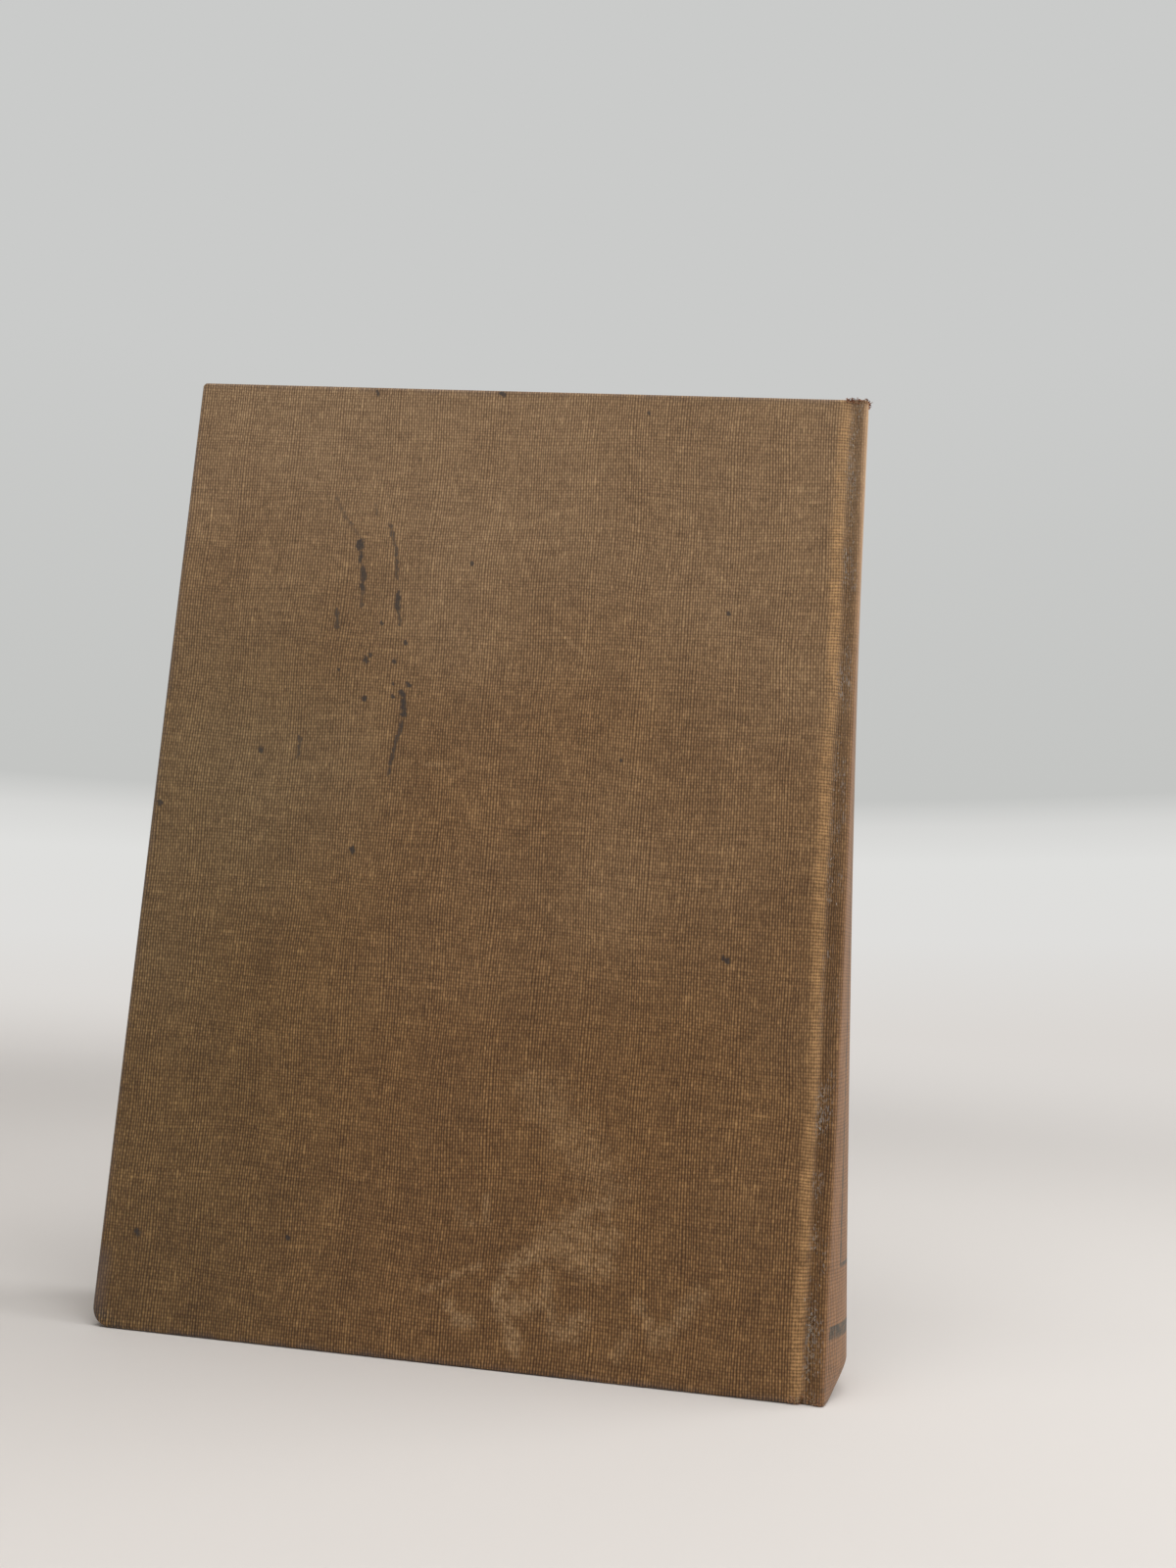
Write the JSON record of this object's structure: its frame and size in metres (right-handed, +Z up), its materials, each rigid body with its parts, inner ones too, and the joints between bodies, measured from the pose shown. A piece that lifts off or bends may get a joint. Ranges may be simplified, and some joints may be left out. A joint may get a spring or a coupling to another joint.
{
  "type": "hardback book",
  "caption": "Worn case-bound hardback book in brown plain-weave cloth, rounded spine, sunk joints, and covers that open on cloth hinges.",
  "frame": {"origin": "middle of the foot of the closed book, on the surface it stands on", "axes": "+Z up along the spine, +X from the fore-edge to the spine, -Y the face of the back cover and +Y the face of the front cover"},
  "size_m": [0.1507, 0.0282, 0.203],
  "materials": {
    "book_cloth": "matte",
    "pages": "matte",
    "endpaper": "matte",
    "lining_paper": "matte",
    "board": "matte",
    "gauze": "matte",
    "band_thread": "satin"
  },
  "bodies": {
    "pages_and_spine": {"text_block": "pages", "spine_gauze": "gauze", "spine_lining": "lining_paper", "head_band": "band_thread", "tail_band": "band_thread", "spine_inlay": "board", "spine_cloth": "book_cloth", "front_free_endpaper": "endpaper", "back_free_endpaper": "endpaper"},
    "front_cover": {"front_board": "board", "front_cloth": "book_cloth", "front_pastedown": "endpaper", "front_gauze_flap": "gauze"},
    "back_cover": {"back_board": "board", "back_cloth": "book_cloth", "back_pastedown": "endpaper", "back_gauze_flap": "gauze"}
  },
  "joints": [
    {"name": "front_cover_hinge", "type": "hinge", "parent": "pages_and_spine", "child": "front_cover", "pos_m": [0.06925, 0.0142, 0.1015], "axis": [0, 0, -1], "range_deg": [0, 180]},
    {"name": "back_cover_hinge", "type": "hinge", "parent": "pages_and_spine", "child": "back_cover", "pos_m": [0.06925, -0.0142, 0.1015], "axis": [0, 0, 1], "range_deg": [0, 180]}
  ]
}
